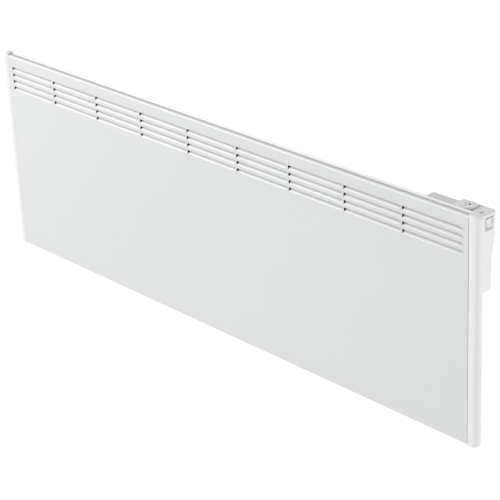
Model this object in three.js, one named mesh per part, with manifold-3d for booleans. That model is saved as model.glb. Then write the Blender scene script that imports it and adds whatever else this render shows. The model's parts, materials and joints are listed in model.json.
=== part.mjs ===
// A wall-hung electric panel heater: a low, wide folded-steel front with four rows of louvres along its top,
// a rear casing that holds a finned element, a steel connection box and a plastic thermostat unit at the
// upper right of the back, and the steel bracket that it hangs from on the wall.
//
// Millimetres. +X runs to the right along the front, +Y runs from the room to the wall, +Z is up.
// The heater is drawn in its own panel frame: y is the distance behind the front face, z the height above
// the bottom edge. The last lines move it so that the origin is on the wall, at the middle of the upper rail.
import * as THREE from "three";
import { mergeVertices } from "three/addons/utils/BufferGeometryUtils.js";
import Module from "manifold-3d";

const wasm = await Module();
wasm.setup();

// Driving dimensions
const WIDTH = 1200;
const HEIGHT = 400;
const WALL_DISTANCE = 80; // front face to wall
const SHEET = 1.2; // steel sheet of the panel, casing and boxes
const GAP = 0.3; // between pieces that touch on the real heater
const OVERCUT = 1; // how far a cutter runs past the face it cuts
const FOLD_RADIUS = 3.6;
const PANEL_DEPTH = 13.8;
const LIP_START = 11.4; // depth at which the top flange turns up into its rear lip
const FLANGE_DROP = 2; // the top flange lies this much below its rear lip
const CAP = { width: 18.6, depth: 15.2, frontRadius: 6, rearRadius: 5, wall: 1.6, dome: 4 };
const SEAM = WIDTH / 2 - CAP.width; // where panel and end caps meet

const COLUMNS = 9;
const ROWS = 4;
const COLUMN_PITCH = 126.9;
const ROW_PITCH = 13.125;
const SLOT_LENGTH = 124.2;
const SLOT_HEIGHT = 8;
const SLOT_PRESS = 4.5; // how far the top of each louvre strip is pressed inwards
const FIRST_SLOT_Z = 376;

const CHAMBER = { left: -560, right: 430, bottom: 8, rear: 46, shoulder: 330, top: 380 };
const BACK_PLATE_Y = 12;
const TIE = { count: 6, halfWidth: 4 };
const VENT = { count: 16, halfLength: 20, bottom: 24, top: 29, margin: 30 };
const ELEMENT = { left: -500, right: 370, y: 24, z: 85, wing: 29, wingThickness: 2, hub: 8, rod: 4 };
const SHEATH = { past: 26, pin: 1.6, pinPast: 38 }; // how far rod and pins run past the finned body
const BUSH = { collar: 11, barrel: 8, gap: 3, collarLength: 4, length: 14 };
const SHIELD = { low: 34, high: 240, offset: 2.6, sheet: 0.8, inset: 24 };

const BOX = { left: 454.5, right: 505, bottom: 262, top: 381, rear: 64.5 };
const HOUSING = { left: 505.5, right: 580, bottom: 254.5, top: 385, rear: 69, wall: 2.5, corner: 8 };
const HOUSING_LEAN = { from: 290, to: 360, depth: 60.5 }; // the rear leans in to this depth at the bottom
const FRONT_OF_BOXES = BACK_PLATE_Y + SHEET + GAP;
const HOUSING_VENT = { xs: [516.5, 528.5, 540.5, 552.5], halfWidth: 3.8, front: 24, rear: 50 };
const PLATFORM = { height: 4, rearX: 510.5, frontX: 536 }; // raised right part of the housing's top
const TERMINAL = { xs: [466, 478, 490], front: 19, rear: 36, bottom: 286, top: 306 };
const COVER_SCREWS = [
  [BOX.left + 7, BOX.bottom + 9],
  [BOX.left + 7, BOX.top - 9],
];
const INLET = { x: 478, y: 42, bore: 4.2, neck: 7, flange: 10 };
const GROMMET = { x: 474, z: 335, bore: 4, neck: 7, rim: 9 };
const WIRE_PASS = { y: 40, z: 335, radius: 5 };
const EARTH = { x: 493, z: 352 };
const CUTOUT = { x: 300, y: 20, z: 262, radius: 8 };
const BOARD = { z: 354, thickness: 1.6, left: 511, right: 575, front: 20, rear: 63 };
const DIAL = { x: 540, y: 51, radius: 12.3, topRadius: 11, height: 4, shaft: 3 };
const LENS = { x: 568.9, y: 44.4, halfLength: 3.5, halfWidth: 2 };
const SENSOR = { x: 561.5, y: 22, stem: 1.5, bead: 3 };
const SWITCH = { y: 50.3, z: 367.7, width: 15.4, height: 20, flange: 1, depth: 14, recess: 1.3 };
const SWITCH_NECK = { halfWidth: 7, halfHeight: 9.3 }; // opening behind the switch's flange
const ROCKER = { width: 11.6, halfLength: 7.2, tilt: 10, pivotDepth: 5.5 };
const ROCKER_PIVOT_X = HOUSING.right - ROCKER.pivotDepth;

const UPRIGHT = { x: 330, sheet: 2, flange: 22, bottom: 60, front: 49.2, past: 18 };
const HANGER = { upper: 330, lower: 130, length: 44, lip: 12, foot: 26, y: 52, sheet: 1.5 };
const RAIL = { upper: 300, lower: 100, halfHeight: 11, past: 20, sheet: 1.5 };
const WALL_SLOT = { xs: [-240, -120, 120, 240], halfLength: 10, halfHeight: 3 };
const LATCH = { y: 67, above: 8, nose: 50, thickness: 2.4, rivet: 2, rivetHead: 3.6 };

const X_AXIS = new THREE.Vector3(1, 0, 0);
const Y_AXIS = new THREE.Vector3(0, 1, 0);
const Z_AXIS = new THREE.Vector3(0, 0, 1);

// Materials: colour, roughness, metalness
function finish(color, roughness, metalness) {
  return new THREE.MeshStandardMaterial({ color, roughness, metalness });
}

const whitePaint = () => finish(0xf1f2f2, 0.42, 0.0);
const whitePlastic = () => finish(0xf0f0ee, 0.38, 0.0);
const zincSteel = () => finish(0xb9bdc0, 0.45, 0.85);
const aluminium = () => finish(0xc9ccce, 0.5, 0.9);
const darkSteel = () => finish(0x6d6f70, 0.4, 0.9);
const ceramic = () => finish(0xe6e0d2, 0.7, 0.0);
const blackPlastic = () => finish(0x1c1c1e, 0.45, 0.0);
const greyPlastic = () => finish(0x9b9ea1, 0.5, 0.0);
const circuitGreen = () => finish(0x1f5a3a, 0.5, 0.1);
const lensClear = () => finish(0xb9c4bd, 0.2, 0.0);
const insulation = (color) => finish(color, 0.55, 0.0);

// A closed geometry as a solid that can be joined and cut.
function solid(geometry) {
  const bare = geometry.clone();
  bare.deleteAttribute("normal");
  bare.deleteAttribute("uv");
  const merged = mergeVertices(bare, 1e-4);
  return new wasm.Manifold(
    new wasm.Mesh({
      numProp: 3,
      vertProperties: new Float32Array(merged.attributes.position.array),
      triVerts: new Uint32Array(merged.index.array),
    }),
  );
}

function geometryOf(made) {
  const mesh = made.getMesh();
  const geometry = new THREE.BufferGeometry();
  geometry.setAttribute("position", new THREE.BufferAttribute(new Float32Array(mesh.vertProperties), 3));
  geometry.setIndex(new THREE.BufferAttribute(new Uint32Array(mesh.triVerts), 1));
  geometry.computeVertexNormals();
  return geometry;
}

const join = (first, ...others) => others.reduce((sum, other) => sum.add(other), first);
const cut = (first, ...others) => others.reduce((rest, other) => rest.subtract(other), first);

function block(x0, x1, y0, y1, z0, z1) {
  const geometry = new THREE.BoxGeometry(x1 - x0, y1 - y0, z1 - z0);
  return solid(geometry.translate((x0 + x1) / 2, (y0 + y1) / 2, (z0 + z1) / 2));
}

// Profiles are THREE.Shape objects or lists of points. Each function says which two axes they are drawn in.
function shapeOf(profile) {
  if (profile instanceof THREE.Shape) return profile;
  return new THREE.Shape(profile.map(([u, v]) => new THREE.Vector2(u, v)));
}

function swept(profile, length, options = {}) {
  const settings = { depth: length, bevelEnabled: false, curveSegments: 6, ...options };
  return new THREE.ExtrudeGeometry(shapeOf(profile), settings);
}

// A profile in (y, z), drawn out from x0 to x1.
function alongX(profile, x0, x1) {
  const basis = new THREE.Matrix4().makeBasis(Y_AXIS, Z_AXIS, X_AXIS);
  return solid(swept(profile, x1 - x0).applyMatrix4(basis).translate(x0, 0, 0));
}

// A profile in (z, x), drawn out from y0 to y1.
function alongY(profile, y0, y1) {
  const basis = new THREE.Matrix4().makeBasis(Z_AXIS, X_AXIS, Y_AXIS);
  return solid(swept(profile, y1 - y0).applyMatrix4(basis).translate(0, y0, 0));
}

// A profile in (x, y), drawn out from z0 to z1.
function alongZ(profile, z0, z1) {
  return solid(swept(profile, z1 - z0).translate(0, 0, z0));
}

function rod(axis, radius, from, to, sides = 20) {
  const geometry = new THREE.CylinderGeometry(radius, radius, from.distanceTo(to), sides);
  geometry.applyQuaternion(new THREE.Quaternion().setFromUnitVectors(Y_AXIS, axis));
  return solid(geometry.translate(...from.clone().add(to).multiplyScalar(0.5).toArray()));
}

function rodX(radius, x0, x1, y, z, sides) {
  return rod(X_AXIS, radius, new THREE.Vector3(x0, y, z), new THREE.Vector3(x1, y, z), sides);
}

function rodY(radius, x, y0, y1, z, sides) {
  return rod(Y_AXIS, radius, new THREE.Vector3(x, y0, z), new THREE.Vector3(x, y1, z), sides);
}

function rodZ(radius, x, y, z0, z1, sides) {
  return rod(Z_AXIS, radius, new THREE.Vector3(x, y, z0), new THREE.Vector3(x, y, z1), sides);
}

const around = (centre, half) => [centre - half, centre + half];
const ordered = (a, b) => [Math.min(a, b), Math.max(a, b)];

const heater = new THREE.Group();
const bracket = new THREE.Group();

function add(group, name, made, material) {
  const geometry = made instanceof THREE.BufferGeometry ? made : geometryOf(made);
  const mesh = new THREE.Mesh(geometry, material);
  mesh.name = name;
  group.add(mesh);
  return mesh;
}

// ---- Front panel: one folded sheet with lanced louvres ----

function frontSection() {
  const r = FOLD_RADIUS;
  const inner = r - SHEET;
  const flange = HEIGHT - FLANGE_DROP;
  const s = new THREE.Shape();
  s.moveTo(PANEL_DEPTH, SHEET);
  s.lineTo(r, SHEET);
  s.absarc(r, r, inner, -Math.PI / 2, -Math.PI, true);
  s.lineTo(SHEET, flange - r);
  s.absarc(r, flange - r, inner, Math.PI, Math.PI / 2, true);
  s.lineTo(LIP_START + SHEET / 2, flange - SHEET);
  s.lineTo(PANEL_DEPTH - SHEET / 2, HEIGHT - SHEET);
  s.lineTo(PANEL_DEPTH, HEIGHT - SHEET);
  s.lineTo(PANEL_DEPTH, HEIGHT);
  s.lineTo(PANEL_DEPTH - SHEET, HEIGHT);
  s.lineTo(LIP_START, flange);
  s.lineTo(r, flange);
  s.absarc(r, flange - r, r, Math.PI / 2, Math.PI, false);
  s.lineTo(0, r);
  s.absarc(r, r, r, Math.PI, Math.PI * 1.5, false);
  s.lineTo(PANEL_DEPTH, 0);
  return s;
}

function louvre(column, row) {
  const x0 = (column - (COLUMNS - 1) / 2) * COLUMN_PITCH - SLOT_LENGTH / 2;
  const top = FIRST_SLOT_Z - row * ROW_PITCH;
  const bottom = top - SLOT_HEIGHT;
  const window = block(x0, x0 + SLOT_LENGTH, -OVERCUT, SHEET + OVERCUT, bottom, top);
  const strip = alongX(
    [
      [0, bottom - SHEET],
      [SHEET, bottom - SHEET],
      [SHEET, bottom],
      [SLOT_PRESS + SHEET, top - GAP],
      [SLOT_PRESS, top - GAP],
      [0, bottom],
    ],
    x0 + GAP,
    x0 + SLOT_LENGTH - GAP,
  );
  return { window, strip };
}

function frontPanel() {
  const half = SEAM - GAP;
  const flange = HEIGHT - FLANGE_DROP;
  let panel = alongX(frontSection(), -half, half);
  for (const side of [-1, 1]) {
    const edges = ordered(side * half, side * (half - SHEET));
    panel = panel.add(block(...edges, SHEET / 2, BACK_PLATE_Y - GAP, SHEET / 2, flange - SHEET / 2));
  }
  for (let column = 0; column < COLUMNS; column++) {
    for (let row = 0; row < ROWS; row++) {
      const { window, strip } = louvre(column, row);
      panel = panel.subtract(window).add(strip);
    }
  }
  return panel;
}

// ---- End caps: plastic channels with a round front corner and domed ends ----

function capSection(inset) {
  const start = SEAM - CAP.width;
  const outer = WIDTH / 2 - inset;
  const rear = CAP.depth - inset;
  const rFront = CAP.frontRadius - inset;
  const rRear = CAP.rearRadius - inset;
  const s = new THREE.Shape();
  s.moveTo(start, inset);
  s.lineTo(outer - rFront, inset);
  s.absarc(outer - rFront, inset + rFront, rFront, -Math.PI / 2, 0, false);
  s.lineTo(outer, rear - rRear);
  s.absarc(outer - rRear, rear - rRear, rRear, 0, Math.PI / 2, false);
  s.lineTo(start, rear);
  return s;
}

// The section starts well inside the seam, so that the domed ends run out straight to it.
function endCap(side) {
  const { wall, dome } = CAP;
  const bevel = {
    bevelEnabled: true,
    bevelThickness: dome,
    bevelSize: dome,
    bevelOffset: -dome,
    bevelSegments: 3,
  };
  const rounded = swept(capSection(0), HEIGHT - 2 * dome, bevel).translate(0, 0, dome);
  const hollow = alongZ(capSection(wall), wall + dome / 2, HEIGHT - wall - dome / 2);
  const inside = block(SEAM - 2 * CAP.width, SEAM, -OVERCUT, CAP.depth + OVERCUT, -OVERCUT, HEIGHT + OVERCUT);
  const cap = cut(solid(rounded), hollow, inside);
  return side > 0 ? cap : cap.mirror([1, 0, 0]);
}

// ---- Back panel: a flat plate with a pressed-out chamber, open below for the air ----

// With an inset the section is that of the hollow, which runs out through the plate and the open bottom.
function chamberSection(inset) {
  const { bottom, rear, shoulder, top } = CHAMBER;
  const front = inset ? BACK_PLATE_Y - OVERCUT : BACK_PLATE_Y;
  const low = inset ? bottom - 2 * HOUSING.corner : bottom;
  return [
    [front, low],
    [rear - inset, low],
    [rear - inset, shoulder - inset / 2],
    [inset ? front : BACK_PLATE_Y + SHEET, top - inset * 1.5],
  ];
}

function backPanel() {
  const half = SEAM - SHEET - 2 * GAP;
  const { left, right, bottom, rear } = CHAMBER;
  const face = [BACK_PLATE_Y, BACK_PLATE_Y + SHEET];
  const low = SHEET + GAP;
  let panel = block(-half, half, ...face, low, HEIGHT - FLANGE_DROP - SHEET - GAP);
  panel = panel.add(alongX(chamberSection(0), left, right));
  panel = panel.subtract(alongX(chamberSection(SHEET), left + SHEET, right - SHEET));
  // Ties keep the open bottom of the chamber square, and a strip of plate runs on below it.
  const tieSpan = right - left - 2 * TIE.halfWidth;
  for (let i = 0; i < TIE.count; i++) {
    const x = left + TIE.halfWidth + (tieSpan * i) / (TIE.count - 1);
    const tie = block(...around(x, TIE.halfWidth), BACK_PLATE_Y, rear - SHEET / 2, bottom, bottom + SHEET);
    panel = panel.add(tie);
  }
  panel = panel.add(block(-half, half, ...face, low, bottom + TIE.halfWidth));
  // Vent slots low in the rear wall.
  const pitch = (right - left - 2 * VENT.margin) / VENT.count;
  for (let i = 0; i < VENT.count; i++) {
    const x = left + VENT.margin + pitch * (i + 0.5);
    const edges = around(x, VENT.halfLength);
    const slot = block(...edges, rear - 2 * SHEET, rear + OVERCUT, VENT.bottom, VENT.top);
    panel = panel.subtract(slot);
  }
  return panel.subtract(rodY(GROMMET.neck, GROMMET.x, face[0] - OVERCUT, face[1] + OVERCUT, GROMMET.z, 16));
}

// ---- Heating element and what carries it ----

function heatingElement() {
  const { left, right, y, z, wing, wingThickness, hub, rod: rodRadius } = ELEMENT;
  let body = rodX(hub, left, right, y, z, 16);
  for (const lean of [28, -28, 152, -152]) {
    const angle = THREE.MathUtils.degToRad(lean);
    const along = [Math.sin(angle), Math.cos(angle)];
    const across = [along[1], -along[0]];
    const at = (r, t) => [y + along[0] * r + across[0] * t, z + along[1] * r + across[1] * t];
    const t = wingThickness / 2;
    body = body.add(alongX([at(2, t), at(wing, t), at(wing, -t), at(2, -t)].reverse(), left, right));
  }
  return body.subtract(rodX(rodRadius + GAP, left - 1, right + 1, y, z, 16));
}

function elementSheath() {
  const { left, right, y, z, rod: rodRadius } = ELEMENT;
  const { past, pin, pinPast } = SHEATH;
  const sheath = rodX(rodRadius, left - past, right + past, y, z, 16);
  return join(sheath, rodX(pin, left - pinPast, right + pinPast, y, z, 10));
}

// side -1 is the left end of the element, +1 the right end
const elementEnd = (side) => (side < 0 ? ELEMENT.left : ELEMENT.right);

function elementBush(side) {
  const { y, z, rod: rodRadius } = ELEMENT;
  const { gap, collarLength, length } = BUSH;
  const start = elementEnd(side) + side * gap;
  const end = start + side * length;
  const collar = rodX(BUSH.collar, ...ordered(start, start + side * collarLength), y, z, 20);
  const barrel = rodX(BUSH.barrel, ...ordered(start + side, end), y, z, 20);
  const bore = rodX(rodRadius + GAP, ...ordered(start - side * OVERCUT, end + side * OVERCUT), y, z, 16);
  return cut(join(collar, barrel), bore);
}

// A web that the bush's barrel passes through, with a foot on the chamber's rear wall.
function elementBracket(side) {
  const { y, z } = ELEMENT;
  const sheet = 1.5;
  const halfHeight = 24;
  const x = elementEnd(side) + side * (BUSH.gap + BUSH.collarLength + 2);
  const rearWall = CHAMBER.rear - SHEET - GAP;
  const web = block(...around(x, sheet / 2), y - 14, rearWall, ...around(z, halfHeight));
  const foot = block(...ordered(x, x + side * 16), rearWall - sheet, rearWall, ...around(z, halfHeight));
  return cut(join(web, foot), rodX(BUSH.barrel + GAP, x - sheet, x + sheet, y, z, 20));
}

// A bright sheet held off the chamber's rear wall, its long edges joggled back to touch it.
function heatShield() {
  const { low, high, sheet, offset, inset } = SHIELD;
  const rearWall = CHAMBER.rear - SHEET - GAP;
  const web = rearWall - offset;
  const edge = 10;
  const joggle = 14;
  return alongX(
    [
      [rearWall, low],
      [rearWall, low + edge],
      [web + sheet, low + joggle],
      [web + sheet, high - joggle],
      [rearWall, high - edge],
      [rearWall, high],
      [rearWall - sheet, high],
      [rearWall - sheet, high - edge + GAP],
      [web, high - joggle + GAP],
      [web, low + joggle - GAP],
      [rearWall - sheet, low + edge - GAP],
      [rearWall - sheet, low],
    ],
    ELEMENT.left + inset,
    ELEMENT.right - inset,
  );
}

function thermalCutout() {
  const { x, y, z, radius } = CUTOUT;
  const cup = rodY(radius, x, y, y + 9, z, 20);
  const face = rodY(radius - 2, x, y - 2, y + 1, z, 20);
  const tab = (s) => block(...around(x + s * radius / 2, 1.6), y + 8, y + 17, ...around(z, 0.4));
  return join(cup, face, tab(-1), tab(1));
}

function cutoutBracket() {
  const { x, y, z, radius } = CUTOUT;
  const rearWall = CHAMBER.rear - SHEET - GAP;
  const halfHeight = 11;
  const reach = 2 * radius;
  const front = y + 1.2;
  const plate = block(...around(x, reach), front, front + 1, ...around(z, halfHeight));
  const arm = block(x + reach - 1, x + reach, front, rearWall, ...around(z, halfHeight));
  const foot = block(x + reach - 1, x + reach + halfHeight, rearWall - 1, rearWall, ...around(z, halfHeight));
  return cut(join(plate, arm, foot), rodY(radius + GAP, x, y, y + 4, z, 20));
}

// ---- Connection box with its terminals and the inlet for the mains cord ----

function connectionBox() {
  const { left, right, bottom, top, rear } = BOX;
  const y0 = FRONT_OF_BOXES;
  const outer = block(left, right, y0, rear, bottom, top);
  const inner = block(left + SHEET, right - SHEET, y0 + SHEET, rear + OVERCUT, bottom + SHEET, top - SHEET);
  const cordHole = rodZ(INLET.neck, INLET.x, INLET.y, bottom - OVERCUT, bottom + SHEET + OVERCUT, 16);
  const leadHole = rodY(GROMMET.neck, GROMMET.x, y0 - OVERCUT, y0 + SHEET + OVERCUT, GROMMET.z, 16);
  const wireHole = rodX(WIRE_PASS.radius, right - 3, right + OVERCUT, WIRE_PASS.y, WIRE_PASS.z, 12);
  const earRear = rear - SHEET - GAP;
  const ear = ([x, z]) => block(left + SHEET / 2, x + 5, earRear - 1.5, earRear, ...around(z, 6));
  return join(cut(outer, inner, cordHole, leadHole, wireHole), ...COVER_SCREWS.map(ear));
}

function connectionCover() {
  const { left, right, bottom, top, rear } = BOX;
  const inset = SHEET + GAP;
  const plate = block(left + inset, right - inset, rear - SHEET, rear, bottom + inset, top - inset);
  const holes = COVER_SCREWS.map(([x, z]) => rodY(2 + GAP, x, rear - 3, rear + OVERCUT, z, 12));
  return cut(plate, ...holes);
}

function coverScrew([x, z]) {
  const { rear } = BOX;
  return join(rodY(3.6, x, rear + GAP, rear + 2, z, 16), rodY(2, x, rear - SHEET - GAP / 3, rear + 1, z, 12));
}

function terminalBlock() {
  const { xs, front, rear, bottom, top } = TERMINAL;
  const middle = (bottom + top) / 2;
  const wells = xs.map((x) => rodY(3.2, x, rear - 6, rear + OVERCUT, middle, 16));
  const grooves = [(xs[0] + xs[1]) / 2, (xs[1] + xs[2]) / 2].map((x) =>
    block(...around(x, 0.8), rear - 5, rear + OVERCUT, bottom - OVERCUT, top + OVERCUT),
  );
  return cut(block(xs[0] - 6, xs[2] + 6, front, rear, bottom, top), ...wells, ...grooves);
}

function terminalScrew(x) {
  const { rear, bottom, top } = TERMINAL;
  const z = (bottom + top) / 2;
  const slot = block(...around(x, 4), rear - 2.8, rear, ...around(z, 0.5));
  return cut(rodY(2.8, x, rear - 5.6, rear - 2, z, 16), slot);
}

function cableInlet() {
  const { x, y, bore, neck, flange } = INLET;
  const { bottom } = BOX;
  const collar = rodZ(flange, x, y, bottom - 8, bottom - GAP, 6);
  const barrel = rodZ(neck - GAP, x, y, bottom - 1, bottom + 12, 16);
  return cut(join(collar, barrel), rodZ(bore, x, y, bottom - 10, bottom + 14, 16));
}

function inletNut() {
  const { x, y, neck, flange } = INLET;
  const floor = BOX.bottom + SHEET + GAP;
  return cut(rodZ(flange, x, y, floor, floor + 4, 6), rodZ(neck, x, y, floor - OVERCUT, floor + 6, 16));
}

function leadGrommet() {
  const { x, z, bore, neck, rim } = GROMMET;
  const y0 = BACK_PLATE_Y;
  const y1 = FRONT_OF_BOXES + SHEET;
  const barrel = rodY(neck - GAP, x, y0 - 2, y1 + 2, z, 16);
  const rims = [rodY(rim, x, y0 - 3, y0 - GAP, z, 20), rodY(rim, x, y1 + GAP, y1 + 3, z, 20)];
  return cut(join(barrel, ...rims), rodY(bore, x, y0 - 5, y1 + 5, z, 16));
}

function earthScrew() {
  const { x, z } = EARTH;
  const face = FRONT_OF_BOXES + SHEET + GAP;
  return join(rodY(5, x, face, face + 2.5, z, 16), rodY(2.5, x, face + 2, face + 7, z, 12));
}

// ---- Thermostat unit: a moulded shell with the dial on top and the rocker switch on its right side ----

function housingPlan(inset) {
  const { left, right, rear, corner } = HOUSING;
  const r = corner - inset;
  const chamfer = 3;
  const front = inset ? FRONT_OF_BOXES - 2 * OVERCUT : FRONT_OF_BOXES;
  const s = new THREE.Shape();
  s.moveTo(left + inset, front);
  s.lineTo(right - inset, front);
  s.lineTo(right - inset, rear - inset - r);
  s.absarc(right - inset - r, rear - inset - r, r, 0, Math.PI / 2, false);
  s.lineTo(left + inset + chamfer, rear - inset);
  s.lineTo(left + inset, rear - inset - chamfer);
  return s;
}

// The plan is drawn out upwards, and its rear leans in towards the bottom.
function leaningShell(inset, z0, z1) {
  const geometry = swept(housingPlan(inset), z1 - z0, { steps: 10 }).translate(0, 0, z0);
  const places = geometry.attributes.position;
  const least = (HOUSING_LEAN.depth - FRONT_OF_BOXES) / (HOUSING.rear - FRONT_OF_BOXES);
  for (let i = 0; i < places.count; i++) {
    const rise = THREE.MathUtils.inverseLerp(HOUSING_LEAN.from, HOUSING_LEAN.to, places.getZ(i));
    const scale = THREE.MathUtils.lerp(least, 1, THREE.MathUtils.clamp(rise, 0, 1));
    const depth = places.getY(i) - FRONT_OF_BOXES;
    if (depth > 0) places.setY(i, FRONT_OF_BOXES + depth * scale);
  }
  return solid(geometry);
}

// Everything left of the slanting edge, above the height of the connection box.
function platformStep() {
  const { left, top, rear } = HOUSING;
  const front = FRONT_OF_BOXES - OVERCUT;
  const plan = [
    [left - OVERCUT, front],
    [PLATFORM.frontX, front],
    [PLATFORM.rearX, rear + OVERCUT],
    [left - OVERCUT, rear + OVERCUT],
  ];
  return alongZ(plan, top - PLATFORM.height, top + OVERCUT);
}

// The roof under the stepped part of the top.
function housingCeiling() {
  const { left, right, top, rear, wall, corner } = HOUSING;
  const under = top - PLATFORM.height - wall;
  return block(left + wall / 2, right - wall / 2, FRONT_OF_BOXES, rear - corner, under, under + wall);
}

function switchOpening() {
  const { right } = HOUSING;
  const { y, z, width, height, recess } = SWITCH;
  const edge = right + OVERCUT;
  const well = block(right - recess, edge, ...around(y, width / 2 + GAP), ...around(z, height / 2 + GAP));
  const { halfWidth, halfHeight } = SWITCH_NECK;
  return join(well, block(right - 4, edge, ...around(y, halfWidth), ...around(z, halfHeight)));
}

function lensOpening() {
  const { x, y, halfLength, halfWidth } = LENS;
  const { top } = HOUSING;
  return block(...around(x, halfWidth + GAP), ...around(y, halfLength + GAP), top - 12, top + OVERCUT);
}

function housingVents() {
  const { xs, halfWidth, front, rear } = HOUSING_VENT;
  const low = HOUSING.bottom - OVERCUT;
  const high = HOUSING.bottom + HOUSING.wall + OVERCUT;
  return xs.map((x) => block(...around(x, halfWidth), front, rear, low, high));
}

function thermostatHousing() {
  const { left, bottom, top, wall } = HOUSING;
  const hollow = leaningShell(wall, bottom + wall, top - wall - OVERCUT);
  const shell = cut(leaningShell(0, bottom, top), hollow, platformStep());
  const dialHole = rodZ(DIAL.shaft + 2 * GAP, DIAL.x, DIAL.y, top - 12, top + OVERCUT, 20);
  const wireHole = rodX(WIRE_PASS.radius, left - OVERCUT, left + 5, WIRE_PASS.y, WIRE_PASS.z, 12);
  const openings = [switchOpening(), dialHole, lensOpening(), wireHole, ...housingVents()];
  return cut(join(shell, housingCeiling()), ...openings);
}

function housingBase() {
  const { left, right, bottom, top, wall } = HOUSING;
  const inset = wall + GAP;
  const high = top - PLATFORM.height - 2 * wall - 2;
  return block(left + inset, right - inset, FRONT_OF_BOXES, FRONT_OF_BOXES + 2, bottom + inset, high);
}

function controlBoard() {
  const { z, thickness, left, right, front, rear } = BOARD;
  return block(left, right, front, rear, z, z + thickness);
}

const onBoard = BOARD.z + BOARD.thickness + GAP;

const relay = () => block(514, 529, 24, 43, onBoard, onBoard + 15);
const capacitor = () => rodZ(5, 548, 29, onBoard, onBoard + 16, 20);

function potentiometer() {
  const { x, y, shaft } = DIAL;
  const body = block(...around(x, 8), ...around(y, 7.5), onBoard, onBoard + 8);
  const neck = rodZ(shaft + 1.8, x, y, onBoard + 7, onBoard + 14, 16);
  return cut(join(body, neck), rodZ(shaft + GAP, x, y, onBoard + 1, onBoard + 16, 20));
}

function dialShaft() {
  const { x, y, shaft } = DIAL;
  return rodZ(shaft, x, y, onBoard + 1 + GAP, HOUSING.top + 2, 20);
}

function thermostatDial() {
  const { x, y, radius, topRadius, height, shaft } = DIAL;
  const underside = 0.4;
  const bore = shaft + GAP;
  const profile = [
    [0, height - 1],
    [bore, height - 1],
    [bore, underside],
    [radius, underside],
    [topRadius + GAP, height - 2 * GAP],
    [topRadius - GAP, height],
    [0, height],
    [0, height - 1],
  ].map(([r, z]) => new THREE.Vector2(r, z));
  const geometry = new THREE.LatheGeometry(profile, 36);
  geometry.rotateX(Math.PI / 2);
  return solid(geometry.translate(x, y, HOUSING.top));
}

function indicatorLens() {
  const { x, y, halfLength, halfWidth } = LENS;
  const { top } = HOUSING;
  const head = block(...around(x, halfWidth), ...around(y, halfLength), top - 6, top + 0.4);
  const guide = block(...around(x, 1.5), ...around(y, 1.5), top - 7, top - 5);
  return join(head, guide);
}

function temperatureSensor() {
  const floor = HOUSING.bottom + HOUSING.wall + GAP;
  const stem = rodZ(SENSOR.stem, SENSOR.x, SENSOR.y, floor, floor + 16, 10);
  const bead = rodZ(SENSOR.bead, SENSOR.x, SENSOR.y, floor + 14, floor + 24, 14);
  return join(stem, bead);
}

function switchBody() {
  const { y, z, width, height, flange, depth, recess } = SWITCH;
  const face = HOUSING.right - recess + flange;
  const { halfWidth, halfHeight } = SWITCH_NECK;
  const rim = block(face - flange + GAP, face, ...around(y, width / 2), ...around(z, height / 2));
  const bodyEdges = [...around(y, halfWidth - GAP), ...around(z, halfHeight - GAP)];
  const body = block(face - depth, face - flange / 2, ...bodyEdges);
  const well = block(face - 10.5, face + OVERCUT, ...around(y, ROCKER.width / 2 + GAP), ...around(z, 8.2));
  const back = face - depth;
  const blades = [-5, 0, 5].map((dz) => block(back - 6, back + 1, ...around(y, 2.4), ...around(z + dz, 0.4)));
  return join(cut(join(rim, body), well), ...blades);
}

// Drawn about the pivot and then tipped, so that its upper half is pressed in.
function rockerPaddle() {
  const { halfLength, width, tilt, pivotDepth } = ROCKER;
  const end = pivotDepth + 0.4;
  const heel = 3;
  // (z, x) about the pivot, x outwards; the two halves of the face meet in a shallow valley.
  const profile = [
    [-halfLength, end],
    [-halfLength + 0.6, -0.5],
    [-2, -heel],
    [2, -heel],
    [halfLength - 0.6, -0.5],
    [halfLength, end],
    [0, pivotDepth - 1],
  ];
  const made = alongY(profile.reverse(), -width / 2, width / 2);
  const geometry = geometryOf(made).rotateY(THREE.MathUtils.degToRad(-tilt));
  return solid(geometry.translate(ROCKER_PIVOT_X, SWITCH.y, SWITCH.z));
}

// ---- Insulated leads ----

const LEAD_RADIUS = 1.3;

function lead(points) {
  const route = points.map((p) => new THREE.Vector3(...p));
  const path = new THREE.CatmullRomCurve3(route, false, "centripetal");
  const section = new THREE.Shape().absarc(0, 0, LEAD_RADIUS, 0, Math.PI * 2, false);
  const steps = points.length * 4;
  return solid(new THREE.ExtrudeGeometry(section, { steps, extrudePath: path, curveSegments: 4 }));
}

const pinRight = [ELEMENT.right + SHEATH.pinPast + GAP, ELEMENT.y, ELEMENT.z];
const pinLeft = [ELEMENT.left - SHEATH.pinPast - GAP, ELEMENT.y, ELEMENT.z];
const CUTOUT_TAB_END = CUTOUT.y + 17 + GAP;
const blockTop = TERMINAL.top + GAP;

const neutralLead = () =>
  lead([
    pinRight,
    [pinRight[0] + 4, ELEMENT.y, ELEMENT.z],
    [pinRight[0] + 10, ELEMENT.y - 8, ELEMENT.z + 14],
    [438, 6, 180],
    [GROMMET.x + 1.8, 6, GROMMET.z - 10],
    [GROMMET.x + 1.8, 9, GROMMET.z],
    [GROMMET.x + 1.8, 18, GROMMET.z],
    [TERMINAL.xs[1], 26, blockTop + 16],
    [TERMINAL.xs[1], 27.5, blockTop],
  ]);

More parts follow.
